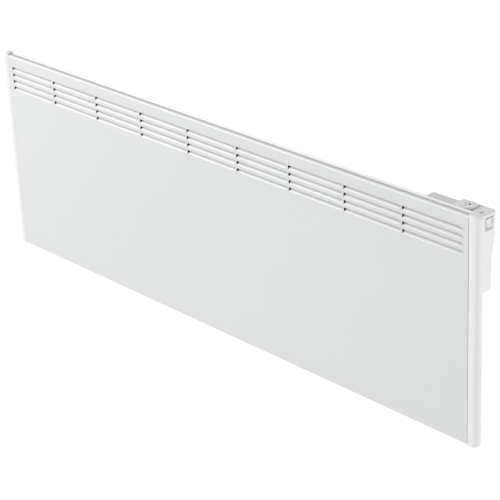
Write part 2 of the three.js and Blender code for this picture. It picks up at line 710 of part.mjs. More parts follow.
const lineLead = () =>
  lead([
    [CUTOUT.x + CUTOUT.radius / 2, CUTOUT_TAB_END, CUTOUT.z],
    [CUTOUT.x + CUTOUT.radius / 2, CUTOUT_TAB_END + 2, CUTOUT.z],
    [CUTOUT.x + 20, CUTOUT.y + 10, CUTOUT.z + 26],
    [390, 7, 300],
    [GROMMET.x - 14, 5, GROMMET.z - 8],
    [GROMMET.x - 1.8, 7, GROMMET.z],
    [GROMMET.x - 1.8, 18, GROMMET.z],
    [TERMINAL.xs[0], 26, blockTop + 16],
    [TERMINAL.xs[0], 27.5, blockTop],
  ]);

const returnLead = () =>
  lead([
    pinLeft,
    [pinLeft[0] - 4, ELEMENT.y, ELEMENT.z],
    [pinLeft[0] - 4, ELEMENT.y + 6, ELEMENT.z + 40],
    [-480, 36, 248],
    [-200, 37, 252],
    [60, 37, 252],
    [CUTOUT.x - 40, 38.5, CUTOUT.z - 6],
    [CUTOUT.x - CUTOUT.radius / 2, CUTOUT_TAB_END + 3, CUTOUT.z],
    [CUTOUT.x - CUTOUT.radius / 2, CUTOUT_TAB_END, CUTOUT.z],
  ]);

const earthLead = () =>
  lead([
    [EARTH.x - 5 - 2 * GAP, FRONT_OF_BOXES + SHEET + 2.6, EARTH.z],
    [EARTH.x - 8, FRONT_OF_BOXES + SHEET + 2.6, EARTH.z],
    [EARTH.x + 4, 27, EARTH.z - 24],
    [TERMINAL.xs[2], 27.5, blockTop + 8],
    [TERMINAL.xs[2], 27.5, blockTop],
  ]);

// ---- Hangers on the heater, and the wall bracket that they drop on to ----

function hanger(x, z) {
  const { length, lip, y, sheet } = HANGER;
  const foot = CHAMBER.rear + GAP;
  return alongX(
    [
      [foot, z - HANGER.foot],
      [foot + sheet, z - HANGER.foot],
      [foot + sheet, z - sheet],
      [y, z - sheet],
      [y, z - lip],
      [y + sheet, z - lip],
      [y + sheet, z],
      [foot, z],
    ].reverse(),
    x - length / 2,
    x + length / 2,
  );
}

// Side plate in (y, z): a strip from wall to heater whose front edge has one hook for each hanger.
function uprightPlate() {
  const { upper, lower, lip, y, sheet } = HANGER;
  const { front, bottom, past } = UPRIGHT;
  const back = WALL_DISTANCE - RAIL.sheet - GAP;
  const slotFront = y - GAP;
  const slotRear = y + sheet + GAP;
  const waist = slotRear + 8;
  const hook = (z) => [
    [slotRear, z + 0.2],
    [slotRear, z - lip - GAP],
    [slotFront, z - lip - GAP],
    [slotFront, z - sheet - GAP],
    [front, z - sheet - GAP],
    [front, z - lip - 14],
    [waist, z - 2 * lip],
  ];
  return [
    [back, bottom],
    [back, upper + past],
    [slotRear + 6, upper + past],
    ...hook(upper),
    [waist, lower + lip],
    ...hook(lower),
    [waist, bottom],
  ];
}

function bracketUpright(side) {
  const { sheet, flange, bottom, past } = UPRIGHT;
  const x = side * UPRIGHT.x;
  const back = WALL_DISTANCE - RAIL.sheet - GAP;
  const plate = alongX(uprightPlate(), x - sheet / 2, x + sheet / 2);
  const edges = ordered(x - (side * sheet) / 2, x + side * flange);
  const turned = block(...edges, back - sheet, back, bottom, HANGER.upper + past);
  const pivotHole = rodX(LATCH.rivet + GAP, ...around(x, sheet), LATCH.y, HANGER.upper + LATCH.above, 12);
  const holeX = x + (side * (flange + sheet)) / 2;
  const wallHoles = [78, 200, 322].map((z) => rodY(3, holeX, back - sheet - OVERCUT, back + OVERCUT, z, 12));
  return cut(join(plate, turned), pivotHole, ...wallHoles);
}

function bracketRail(z) {
  const { halfHeight, past, sheet } = RAIL;
  const y1 = WALL_DISTANCE;
  const bar = block(...around(0, UPRIGHT.x + past), y1 - sheet, y1, ...around(z, halfHeight));
  const slot = (x) =>
    block(
      ...around(x, WALL_SLOT.halfLength),
      y1 - sheet - OVERCUT,
      y1 + OVERCUT,
      ...around(z, WALL_SLOT.halfHeight),
    );
  return cut(bar, ...WALL_SLOT.xs.map(slot));
}

// A lever beside each upright: its nose lies over the hanger and stops the heater lifting off.
function latch(side) {
  const { y, above, nose, thickness, rivet } = LATCH;
  const z = HANGER.upper;
  const pivotZ = z + above;
  const clear = UPRIGHT.sheet / 2 + GAP;
  const x = side > 0 ? UPRIGHT.x - clear - thickness : -UPRIGHT.x + clear;
  const profile = [
    [nose, z + 0.5],
    [nose + 5, z + 0.5],
    [y - 7, pivotZ - 5],
    [y + 2, pivotZ - 6],
    [y + 7, pivotZ - 2],
    [y + 7, pivotZ + 3],
    [y + 2, pivotZ + 6],
    [y - 12, pivotZ + 5],
    [nose, z + 5],
  ];
  const lever = alongX(profile, x, x + thickness);
  return cut(lever, rodX(rivet + GAP, x - OVERCUT, x + thickness + OVERCUT, y, pivotZ, 12));
}

function latchRivet(side) {
  const { y, above, thickness, rivet, rivetHead } = LATCH;
  const z = HANGER.upper + above;
  const head = 1.4;
  const half = UPRIGHT.sheet / 2;
  const inner = side * (UPRIGHT.x - half - 2 * GAP - thickness);
  const outer = side * (UPRIGHT.x + half + GAP);
  return join(
    rodX(rivet, ...ordered(inner, outer), y, z, 12),
    rodX(rivetHead, ...ordered(inner, inner - side * head), y, z, 16),
    rodX(rivetHead, ...ordered(outer, outer + side * head), y, z, 16),
  );
}

// ---- Assembly ----

const SIDES = { left: -1, right: 1 };

add(heater, "front_panel", frontPanel(), whitePaint());
add(heater, "back_panel", backPanel(), whitePaint());
add(heater, "heating_element", heatingElement(), aluminium());
add(heater, "element_sheath", elementSheath(), darkSteel());
add(heater, "heat_shield", heatShield(), aluminium());
add(heater, "thermal_cutout", thermalCutout(), zincSteel());
add(heater, "cutout_bracket", cutoutBracket(), zincSteel());
add(heater, "lead_grommet", leadGrommet(), blackPlastic());
for (const [word, side] of Object.entries(SIDES)) {
  add(heater, `end_cap_${word}`, endCap(side), whitePlastic());
  add(heater, `element_bush_${word}`, elementBush(side), ceramic());
  add(heater, `element_bracket_${word}`, elementBracket(side), zincSteel());
  add(heater, `hanger_upper_${word}`, hanger(side * UPRIGHT.x, HANGER.upper), zincSteel());
  add(heater, `hanger_lower_${word}`, hanger(side * UPRIGHT.x, HANGER.lower), zincSteel());
}

add(heater, "connection_box", connectionBox(), whitePaint());
add(heater, "connection_cover", connectionCover(), whitePaint());
COVER_SCREWS.forEach((place, i) => add(heater, `cover_screw_${i + 1}`, coverScrew(place), zincSteel()));
add(heater, "terminal_block", terminalBlock(), greyPlastic());
TERMINAL.xs.forEach((x, i) => add(heater, `terminal_screw_${i + 1}`, terminalScrew(x), zincSteel()));
add(heater, "cable_inlet", cableInlet(), greyPlastic());
add(heater, "inlet_nut", inletNut(), greyPlastic());
add(heater, "earth_screw", earthScrew(), zincSteel());

add(heater, "thermostat_housing", thermostatHousing(), whitePlastic());
add(heater, "housing_base", housingBase(), whitePlastic());
add(heater, "control_board", controlBoard(), circuitGreen());
add(heater, "relay", relay(), blackPlastic());
add(heater, "capacitor", capacitor(), blackPlastic());
add(heater, "potentiometer", potentiometer(), greyPlastic());
add(heater, "dial_shaft", dialShaft(), greyPlastic());
add(heater, "thermostat_dial", thermostatDial(), whitePlastic());
add(heater, "indicator_lens", indicatorLens(), lensClear());
add(heater, "temperature_sensor", temperatureSensor(), blackPlastic());
add(heater, "rocker_switch_body", switchBody(), whitePlastic());
add(heater, "rocker_paddle", rockerPaddle(), whitePlastic());

add(heater, "lead_neutral", neutralLead(), insulation(0x2f5fa8));
add(heater, "lead_line", lineLead(), insulation(0x6b4226));
add(heater, "lead_return", returnLead(), insulation(0x6b4226));
add(heater, "lead_earth", earthLead(), insulation(0x5f8f2f));

for (const [word, side] of Object.entries(SIDES)) {
  add(bracket, `bracket_upright_${word}`, bracketUpright(side), zincSteel());
  add(bracket, `bracket_latch_${word}`, latch(side), blackPlastic());
  add(bracket, `latch_rivet_${word}`, latchRivet(side), zincSteel());
}
add(bracket, "bracket_rail_upper", bracketRail(RAIL.upper), zincSteel());
add(bracket, "bracket_rail_lower", bracketRail(RAIL.lower), zincSteel());

// The origin is on the wall, at the middle of the upper rail.
const panelHeater = new THREE.Group();
panelHeater.add(heater, bracket);
panelHeater.position.set(0, -WALL_DISTANCE, -RAIL.upper);

export default panelHeater;
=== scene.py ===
"""A wall-hung electric panel heater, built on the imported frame.

Metres, in the frame's own axes: +X right along the front, +Y from the room to the wall, +Z up.
Lengths below are named in millimetres and placed from the CAD boxes: depth is measured back from the
front panel's face, height up from its bottom edge.
"""

import json
import math

import bmesh
import bpy
from mathutils import Matrix, Vector


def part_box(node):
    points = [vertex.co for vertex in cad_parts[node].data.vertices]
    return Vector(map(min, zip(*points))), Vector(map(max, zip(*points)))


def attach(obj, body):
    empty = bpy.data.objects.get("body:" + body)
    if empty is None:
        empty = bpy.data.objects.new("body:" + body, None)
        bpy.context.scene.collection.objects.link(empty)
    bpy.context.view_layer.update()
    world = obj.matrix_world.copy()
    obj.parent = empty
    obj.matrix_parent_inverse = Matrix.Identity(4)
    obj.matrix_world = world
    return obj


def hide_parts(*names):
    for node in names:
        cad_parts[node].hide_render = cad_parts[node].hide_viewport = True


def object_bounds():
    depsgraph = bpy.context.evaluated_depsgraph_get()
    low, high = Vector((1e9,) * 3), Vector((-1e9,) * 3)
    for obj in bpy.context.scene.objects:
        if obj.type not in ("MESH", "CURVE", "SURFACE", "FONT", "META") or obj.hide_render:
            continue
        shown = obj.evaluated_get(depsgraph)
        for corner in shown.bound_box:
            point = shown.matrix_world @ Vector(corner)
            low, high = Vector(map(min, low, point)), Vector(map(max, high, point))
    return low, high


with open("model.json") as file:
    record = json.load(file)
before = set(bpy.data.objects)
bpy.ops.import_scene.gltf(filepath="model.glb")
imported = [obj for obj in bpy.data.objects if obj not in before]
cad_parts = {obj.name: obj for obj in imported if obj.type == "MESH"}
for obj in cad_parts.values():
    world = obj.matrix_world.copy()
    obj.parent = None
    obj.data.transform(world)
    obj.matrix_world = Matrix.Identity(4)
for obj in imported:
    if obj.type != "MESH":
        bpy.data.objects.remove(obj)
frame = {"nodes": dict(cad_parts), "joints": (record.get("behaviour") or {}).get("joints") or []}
cad_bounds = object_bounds()
nodes = frame["nodes"]

MM = 0.001
PANEL_LOW, PANEL_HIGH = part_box("front_panel")
CAP_LOW, CAP_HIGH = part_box("end_cap_right")
HOUSING_LOW, HOUSING_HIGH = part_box("thermostat_housing")
DIAL_LOW, DIAL_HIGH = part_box("thermostat_dial")
LENS_LOW, LENS_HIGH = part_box("indicator_lens")
SWITCH_LOW, SWITCH_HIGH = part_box("rocker_switch_body")
ROCKER_LOW, ROCKER_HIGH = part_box("rocker_paddle")


def at(x, depth, height):
    """A point from its place across, its depth behind the front face and its height, in millimetres."""
    return Vector((x * MM, PANEL_LOW.y + depth * MM, PANEL_LOW.z + height * MM))


def across(value):
    return value / MM


def depth_of(value):
    return (value - PANEL_LOW.y) / MM


def height_of(value):
    return (value - PANEL_LOW.z) / MM


# ---------------------------------------------------------------- stage and camera


CAMERA_PLACE = (2227.2, -1921.6, 1516.9)  # across, depth and height
CAMERA_ANGLES = (48.055, 24.771, -2.736)  # azimuth, elevation and roll, in degrees
LENS_LENGTH, SENSOR_WIDTH = 132.2, 36
FURTHEST_SEEN = 100


def camera():
    """The photograph's view: azimuth turns the camera to the right, elevation tips it down."""
    azimuth, elevation, roll = (math.radians(angle) for angle in CAMERA_ANGLES)
    data = bpy.data.cameras.new("camera")
    data.sensor_width = SENSOR_WIDTH
    data.lens = LENS_LENGTH
    data.clip_end = FURTHEST_SEEN
    eye = bpy.data.objects.new("camera", data)
    eye.location = at(*CAMERA_PLACE)
    turn = Matrix.Rotation(azimuth, 4, "Z") @ Matrix.Rotation(math.pi / 2 - elevation, 4, "X")
    eye.rotation_euler = (turn @ Matrix.Rotation(roll, 4, "Z")).to_euler()
    bpy.context.scene.collection.objects.link(eye)
    bpy.context.scene.camera = eye


def node_material(name):
    material = bpy.data.materials.new(name)
    material.use_nodes = True
    tree = material.node_tree
    return material, tree, tree.nodes["Principled BSDF"]


FLOOR_HALF, FLOOR_DROP = 30.0, 2.0
FLOOR_GREY = 0.5
FLOOR_NEAR, FLOOR_FAR = 0.36, 0.85  # the floor's own glow in front of the heater and behind it
GLOW_DIRECTION = (-0.2, 0.98, 0)
GLOW_START, GLOW_END = 0.2, 1.0  # metres along that direction over which the glow grows


def floor():
    """A plain pale floor, far below, with a glow of its own that grows from front to back."""
    half = FLOOR_HALF
    z = cad_bounds[0][2] - FLOOR_DROP
    mesh = bpy.data.meshes.new("floor")
    corners = [(-half, -half, z), (half, -half, z), (half, half, z), (-half, half, z)]
    mesh.from_pydata(corners, [], [(0, 1, 2, 3)])
    plane = bpy.data.objects.new("floor", mesh)
    bpy.context.scene.collection.objects.link(plane)
    material, tree, shader = node_material("pale_floor")
    shader.inputs["Base Color"].default_value = (FLOOR_GREY, FLOOR_GREY, FLOOR_GREY, 1)
    shader.inputs["Roughness"].default_value = 1.0
    shader.inputs["Specular IOR Level"].default_value = 0.0
    shader.inputs["Emission Color"].default_value = (1, 1, 1, 1)
    coords = tree.nodes.new("ShaderNodeTexCoord")
    away = tree.nodes.new("ShaderNodeVectorMath")
    away.operation = "DOT_PRODUCT"
    away.inputs[1].default_value = GLOW_DIRECTION
    ramp = tree.nodes.new("ShaderNodeMapRange")
    ramp.interpolation_type = "SMOOTHSTEP"
    ramp.inputs["From Min"].default_value = GLOW_START
    ramp.inputs["From Max"].default_value = GLOW_END
    ramp.inputs["To Min"].default_value = FLOOR_NEAR
    ramp.inputs["To Max"].default_value = FLOOR_FAR
    tree.links.new(coords.outputs["Object"], away.inputs[0])
    tree.links.new(away.outputs["Value"], ramp.inputs["Value"])
    tree.links.new(ramp.outputs["Result"], shader.inputs["Emission Strength"])
    mesh.materials.append(material)


def softbox(name, place, target, size, power):
    data = bpy.data.lights.new(name, "AREA")
    data.shape = "RECTANGLE"
    data.size, data.size_y = size
    data.energy = power
    light = bpy.data.objects.new(name, data)
    light.location = place
    light.rotation_euler = (Vector(target) - Vector(place)).to_track_quat("-Z", "Y").to_euler()
    bpy.context.scene.collection.objects.link(light)


WORLD_STRENGTH = 0.43
SOFTBOXES = [  # name, place, target, size and power
    ("key", (-2.9, -2.9, 2.3), (0, 0, 0), (3.4, 2.6), 182),
    ("side_fill", (3.3, -0.5, 0.5), (0.5, 0, 0), (1.2, 1.6), 29),
    ("back_fill", (-1.0, 3.2, 0.3), (0, 0, 0), (2.4, 1.4), 18),
]


def lighting():
    world = bpy.data.worlds.new("studio")
    world.use_nodes = True
    background = world.node_tree.nodes["Background"]
    background.inputs["Color"].default_value = (1, 1, 1, 1)
    background.inputs["Strength"].default_value = WORLD_STRENGTH
    bpy.context.scene.world = world
    bpy.context.scene.view_settings.view_transform = "Standard"
    for box in SOFTBOXES:
        softbox(*box)


# ---------------------------------------------------------------- materials


EVEN = (1, 1, 1)
NOISE_LOW, NOISE_HIGH = 0.3, 0.7  # noise seldom leaves this range
TINT_SCALE, TINT_DETAIL = 7, 2
GLOSS_SWING = 0.05
GRAIN_STRENGTH = 0.5


def noise(tree, scale, detail, stretch=EVEN):
    """Noise in the heater's own metres: scale is features per metre."""
    coords = tree.nodes.new("ShaderNodeTexCoord")
    mapping = tree.nodes.new("ShaderNodeMapping")
    mapping.inputs["Scale"].default_value = stretch
    texture = tree.nodes.new("ShaderNodeTexNoise")
    texture.inputs["Scale"].default_value = scale
    texture.inputs["Detail"].default_value = detail
    tree.links.new(coords.outputs["Object"], mapping.inputs["Vector"])
    tree.links.new(mapping.outputs["Vector"], texture.inputs["Vector"])
    return texture.outputs["Fac"]


def spread(tree, value, low, high):
    """Maps noise, which keeps near 0.5, to low..high."""
    node = tree.nodes.new("ShaderNodeMapRange")
    node.inputs["From Min"].default_value = NOISE_LOW
    node.inputs["From Max"].default_value = NOISE_HIGH
    node.inputs["To Min"].default_value = low
    node.inputs["To Max"].default_value = high
    tree.links.new(value, node.inputs["Value"])
    return node.outputs["Result"]


def blend_colours(tree, factor, first, second):
    node = tree.nodes.new("ShaderNodeMix")
    node.data_type = "RGBA"
    node.inputs["A"].default_value = (*first, 1)
    node.inputs["B"].default_value = (*second, 1)
    tree.links.new(factor, node.inputs["Factor"])
    return node.outputs["Result"]


def surface(
    name, colour, roughness, grain, depth, metallic=0.0, tint=0.04, stretch=EVEN, detail=3, shine=0.5
):
    """A painted, moulded or metal surface: slow tint and gloss changes over a fine grain, depth in mm."""
    material, tree, shader = node_material(name)
    darker = tuple(c * (1 - tint) for c in colour)
    slow = noise(tree, TINT_SCALE, TINT_DETAIL)
    tree.links.new(blend_colours(tree, slow, colour, darker), shader.inputs["Base Color"])
    fine = noise(tree, grain, detail, stretch)
    gloss = spread(tree, fine, roughness - GLOSS_SWING, roughness + GLOSS_SWING)
    tree.links.new(gloss, shader.inputs["Roughness"])
    shader.inputs["Metallic"].default_value = metallic
    shader.inputs["Specular IOR Level"].default_value = shine
    bump = tree.nodes.new("ShaderNodeBump")
    bump.inputs["Strength"].default_value = GRAIN_STRENGTH
    bump.inputs["Distance"].default_value = depth * MM
    tree.links.new(fine, bump.inputs["Height"])
    tree.links.new(bump.outputs["Normal"], shader.inputs["Normal"])
    return material


CRYSTALS_PER_METRE = 160
ZINC_LIGHT, ZINC_DARK = (0.62, 0.64, 0.66), (0.5, 0.52, 0.54)
ZINC_SMOOTH, ZINC_ROUGH = 0.34, 0.5
ZINC_METAL = 0.9
ZINC_GRAIN = {"strength": 0.4, "depth": 0.02, "scale": 1800, "detail": 2}


def spangled_zinc():
    """Zinc plate: small crystal patches that differ in tone and gloss."""
    material, tree, shader = node_material("zinc_steel")
    coords = tree.nodes.new("ShaderNodeTexCoord")
    cells = tree.nodes.new("ShaderNodeTexVoronoi")
    cells.inputs["Scale"].default_value = CRYSTALS_PER_METRE
    tree.links.new(coords.outputs["Object"], cells.inputs["Vector"])
    split = tree.nodes.new("ShaderNodeSeparateColor")
    tree.links.new(cells.outputs["Color"], split.inputs["Color"])
    tone = blend_colours(tree, split.outputs["Red"], ZINC_LIGHT, ZINC_DARK)
    tree.links.new(tone, shader.inputs["Base Color"])
    gloss = tree.nodes.new("ShaderNodeMapRange")
    gloss.inputs["To Min"].default_value = ZINC_SMOOTH
    gloss.inputs["To Max"].default_value = ZINC_ROUGH
    tree.links.new(split.outputs["Green"], gloss.inputs["Value"])
    tree.links.new(gloss.outputs["Result"], shader.inputs["Roughness"])
    shader.inputs["Metallic"].default_value = ZINC_METAL
    bump = tree.nodes.new("ShaderNodeBump")
    bump.inputs["Strength"].default_value = ZINC_GRAIN["strength"]
    bump.inputs["Distance"].default_value = ZINC_GRAIN["depth"] * MM
    grain = noise(tree, ZINC_GRAIN["scale"], ZINC_GRAIN["detail"])
    tree.links.new(grain, bump.inputs["Height"])
    tree.links.new(bump.outputs["Normal"], shader.inputs["Normal"])
    return material


def make_materials():
    lengthways = (0.02, 1, 1)
    return {
        "white_paint": surface("white_paint", (0.747, 0.757, 0.758), 0.3, 700, 0.02, tint=0.02),
        # near-black painted shade, put where there is only shade: the chamber behind the slots and the dial's
        # centre hole
        "painted_shade_black": surface("painted_shade_black", (0.006, 0.006, 0.006), 0.9, 700, 0.02, shine=0.1),
        "white_plastic": surface("white_plastic", (0.86, 0.86, 0.85), 0.36, 2200, 0.025, tint=0.02),
        "aluminium": surface("aluminium", (0.74, 0.75, 0.76), 0.36, 3000, 0.03, 0.95, 0.06, lengthways),
        "dark_steel": surface("dark_steel", (0.2, 0.19, 0.19), 0.42, 1200, 0.03, 0.85, 0.25),
        "ceramic": surface("ceramic", (0.76, 0.72, 0.62), 0.75, 1500, 0.06, tint=0.08),
        "zinc_steel": spangled_zinc(),
        "black_plastic": surface("black_plastic", (0.022, 0.022, 0.024), 0.45, 2400, 0.03, tint=0.1),
        # a light grey that paints the shade in the panel's top groove
        "groove_shade_grey": surface("groove_shade_grey", (0.6, 0.605, 0.605), 0.7, 900, 0.03, shine=0.2),
        "grey_plastic": surface("grey_plastic", (0.4, 0.41, 0.42), 0.48, 2400, 0.03),
        "grey_print": surface("grey_print", (0.13, 0.13, 0.135), 0.55, 2400, 0.01),
        "circuit_board": surface("circuit_board", (0.03, 0.2, 0.1), 0.35, 900, 0.03, tint=0.3),
        "lens": surface("lens", (0.62, 0.64, 0.64), 0.22, 1500, 0.005),
        "blue_insulation": surface("blue_insulation", (0.03, 0.12, 0.5), 0.45, 1500, 0.02),
        "brown_insulation": surface("brown_insulation", (0.18, 0.08, 0.035), 0.45, 1500, 0.02),
        "green_insulation": surface("green_insulation", (0.14, 0.36, 0.04), 0.45, 1500, 0.02, tint=0.4),
    }


materials = make_materials()


# ---------------------------------------------------------------- mesh helpers


SHARP_ANGLE = 40  # a fold sharper than this stays an edge where there is no bevel
BEVEL_ANGLE = 32
ON_AXIS = 1e-6
MERGE_DISTANCE = 1e-6  # metres


def piece(name, mesh_builder, slot, body="heater", stands_for=(), bevel=0.3, segments=2):
    """Turns a bmesh into a finished piece: material, soft edges, and the body that it rides on."""
    mesh = bpy.data.meshes.new(name)
    mesh_builder.normal_update()
    mesh_builder.to_mesh(mesh)
    mesh_builder.free()
    made = bpy.data.objects.new(name, mesh)
    bpy.context.scene.collection.objects.link(made)
    mesh.materials.append(materials[slot])
    soften(made, bevel, segments)
    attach(made, body)
    if stands_for:
        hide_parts(*stands_for)
    return made


def soften(made, width, segments=2):
    """Rounds the sharp edges by width mm and shades the rest smooth."""
    made.data.polygons.foreach_set("use_smooth", [True] * len(made.data.polygons))
    if not width:
        made.data.set_sharp_from_angle(angle=math.radians(SHARP_ANGLE))
        return
    bevel = made.modifiers.new("soft_edges", "BEVEL")
    bevel.width = width * MM
    bevel.segments = segments
    bevel.limit_method = "ANGLE"
    bevel.angle_limit = math.radians(BEVEL_ANGLE)
    bevel.harden_normals = True
    bevel.use_clamp_overlap = True
    bevel.miter_outer = "MITER_ARC"


def arc(cx, cy, radius, start, end, steps):
    """Points of an arc, angles in degrees."""
    for i in range(steps + 1):
        angle = math.radians(start + (end - start) * i / steps)
        yield (cx + radius * math.cos(angle), cy + radius * math.sin(angle))


def loft(rings, close_ends=True):
    """A skin over rings of equally many points, each ring closed on itself."""
    built = bmesh.new()
    loops = [[built.verts.new(p) for p in ring] for ring in rings]
    count = len(rings[0])
    for lower, upper in zip(loops, loops[1:]):
        for i in range(count):
            k = (i + 1) % count
            built.faces.new((lower[i], lower[k], upper[k], upper[i]))
    if close_ends:
        built.faces.new(list(reversed(loops[0])))
        built.faces.new(loops[-1])
    bmesh.ops.recalc_face_normals(built, faces=built.faces)
    return built


def add_block(built, low, high):
    """Adds a box between two corners to a bmesh."""
    made = bmesh.ops.create_cube(built, size=1)
    size = Vector(high) - Vector(low)
    middle = (Vector(high) + Vector(low)) / 2
    bmesh.ops.scale(built, vec=size, verts=made["verts"])
    bmesh.ops.translate(built, vec=middle, verts=made["verts"])
    return made["verts"]


def lathe(profile, centre, steps=96):
    """A solid of revolution about a vertical axis; the profile's (radius, height) runs from axis to axis."""
    built = bmesh.new()
    rings = []
    for radius, height in profile:
        if radius < ON_AXIS:
            rings.append([built.verts.new(centre + Vector((0, 0, height * MM)))])
            continue
        points = arc(0, 0, radius, 0, 360 - 360 / steps, steps - 1)
        rings.append([built.verts.new(centre + Vector((x * MM, y * MM, height * MM))) for x, y in points])
    for lower, upper in zip(rings, rings[1:]):
        for i in range(steps):
            k = (i + 1) % steps
            low_pair = [lower[i % len(lower)], lower[k % len(lower)]]
            high_pair = [upper[k % len(upper)], upper[i % len(upper)]]
            corners = list(dict.fromkeys(low_pair + high_pair))
            if len(corners) > 2:
                built.faces.new(corners)
    bmesh.ops.recalc_face_normals(built, faces=built.faces)
    return built


def evaluated(made):
    """Applies an object's modifiers to its mesh."""
    graph = bpy.context.evaluated_depsgraph_get()
    graph.update()
    applied = bpy.data.meshes.new_from_object(made.evaluated_get(graph))
    made.modifiers.clear()
    made.data = applied
    return made


def plain_object(name, built):
    mesh = bpy.data.meshes.new(name)
    built.to_mesh(mesh)
    built.free()
    made = bpy.data.objects.new(name, mesh)
    bpy.context.scene.collection.objects.link(made)
    return made


def carved(built, cutters):
    """The bmesh with the cutters' volumes taken away."""
    body = plain_object("carving", built)
    for cutter in cutters:
        tool = plain_object("cutter", cutter)
        boolean = body.modifiers.new("cut", "BOOLEAN")
        boolean.operation = "DIFFERENCE"
        boolean.solver = "EXACT"
        boolean.object = tool
        evaluated(body)
        bpy.data.objects.remove(tool)
    result = bmesh.new()
    result.from_mesh(body.data)
    bmesh.ops.remove_doubles(result, verts=result.verts, dist=MERGE_DISTANCE)
    bpy.data.objects.remove(body)
    return result


# ---------------------------------------------------------------- front panel

SHEET = 0.9
FOLD = 3.8
FOLD_STEPS = 8
FACE_LEVELS = (40, 110, 180, 250, 300)  # heights that divide the plain part of the face
LOUVRE_CURVE = ((0.06, 0.02), (0.14, 0.09), (0.36, 0.45), (0.58, 0.82), (0.7, 0.95), (1, 1))
END_SHEAR = 1.3  # how much shorter a strip's free edge is at each end
END_GAP = 0.25
FLANGE_DROP = 2.4  # the top's flat strip lies this far under the lip
FLANGE_FALL = 0.6  # and falls this much more towards the lip
LIP_START = 11.2
COLUMNS, ROWS = 9, 4
COLUMN_PITCH, ROW_PITCH = 126.9, 13.125
SLOT_LENGTH, SLOT_HEIGHT, SLOT_PRESS = 124.2, 8.0, 5.4
FIRST_SLOT = 376.0


def slot_columns():
    for column in range(COLUMNS):
        middle = (column - (COLUMNS - 1) / 2) * COLUMN_PITCH
        yield middle - SLOT_LENGTH / 2, middle + SLOT_LENGTH / 2


def slot_rows():
    for row in range(ROWS):
        top = FIRST_SLOT - row * ROW_PITCH
        yield top - SLOT_HEIGHT, top


def panel_profile():
    """(depth, height) of the sheet's outer face, from the bottom's rear edge over the front to the lip."""
    depth = depth_of(PANEL_HIGH.y)
    top = height_of(PANEL_HIGH.z)
    flange = top - FLANGE_DROP
    yield depth, 0
    yield from ((FOLD - x, FOLD - y) for x, y in arc(0, 0, FOLD, 90, 0, FOLD_STEPS))
    for height in FACE_LEVELS:
        yield 0, height
    for low, high in reversed(list(slot_rows())):
        yield 0, low
        yield 0, high
    yield from ((FOLD - x, flange - FOLD + y) for x, y in arc(0, 0, FOLD, 0, 90, FOLD_STEPS))
    yield LIP_START - 0.8, flange - FLANGE_FALL
    yield LIP_START - 0.4, flange - FLANGE_FALL + 0.25
    yield depth - SHEET - 0.4, top - 0.35
    yield depth - SHEET, top
    yield depth, top


def louvre_profile(low, high):
    """(depth, height) of a pressed strip, from its fold at the slot's foot to its free upper edge."""
    top = high - 0.3
    rise = top - low
    for share, reach in LOUVRE_CURVE:
        yield SLOT_PRESS * reach, low + rise * share


def front_sheet():
    half = across(PANEL_HIGH.x)
    xs = [-half] + [x for pair in slot_columns() for x in pair] + [half]
    profile = list(panel_profile())
    built = bmesh.new()
    grid = [[built.verts.new(at(x, *point)) for x in xs] for point in profile]
    foot_rows = {low: high for low, high in slot_rows()}
    for j in range(len(profile) - 1):
        depth, height = profile[j]
        is_slot_row = depth == 0 and height in foot_rows
        for i in range(len(xs) - 1):
            is_slot = is_slot_row and i % 2 == 1
            if not is_slot:
                built.faces.new((grid[j][i], grid[j][i + 1], grid[j + 1][i + 1], grid[j + 1][i]))
                continue
            left, right = grid[j][i], grid[j][i + 1]
            for point in louvre_profile(height, foot_rows[height]):
                inset = END_GAP + END_SHEAR * point[0] / SLOT_PRESS
                next_left = built.verts.new(at(xs[i] + inset, *point))
                next_right = built.verts.new(at(xs[i + 1] - inset, *point))
                built.faces.new((left, right, next_right, next_left))
                left, right = next_left, next_right
    bmesh.ops.recalc_face_normals(built, faces=built.faces)
    front_normal = sum((f.normal.y for f in built.faces), 0.0)
    if front_normal > 0:
        bmesh.ops.reverse_faces(built, faces=built.faces)
    return built


def front_panel():
    sheet = plain_object("sheet", front_sheet())
    solid = sheet.modifiers.new("thickness", "SOLIDIFY")
    solid.thickness = SHEET * MM
    solid.offset = -1
    solid.use_even_offset = True
    evaluated(sheet)
    built = bmesh.new()
    built.from_mesh(sheet.data)
    bpy.data.objects.remove(sheet)
    for side in (-1, 1):
        side_return(built, side)
    piece("panel_front", built, "white_paint", stands_for=["front_panel"], bevel=0.28)


def side_return(built, side):
    """Adds the flap that closes one end of the sheet; its corners follow the folds, just inside them."""
    half = across(PANEL_HIGH.x)
    back = depth_of(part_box("back_panel")[0].y) - 0.3
    flange = height_of(PANEL_HIGH.z) - FLANGE_DROP
    radius = FOLD - SHEET / 4
    outline = [(FOLD - x, FOLD - y) for x, y in arc(0, 0, radius, 90, 0, FOLD_STEPS)]
    outline += [(FOLD - x, flange - FOLD + y) for x, y in arc(0, 0, radius, 0, 90, FOLD_STEPS)]
    rear_top = flange - FLANGE_FALL - SHEET / 2
    outline += [(LIP_START - 0.8, rear_top), (back, rear_top), (back, SHEET / 4)]
    ends = []
    for x in (side * (half - SHEET), side * half):
        ends.append([built.verts.new(at(x, depth, height)) for depth, height in outline])
    count = len(outline)
    inner, outer = ends
    following = [(i, (i + 1) % count) for i in range(count)]
    sides = [[inner[i], inner[k], outer[k], outer[i]] for i, k in following]
    made = [built.faces.new(corners) for corners in [*sides, inner, outer]]
    bmesh.ops.recalc_face_normals(built, faces=made)


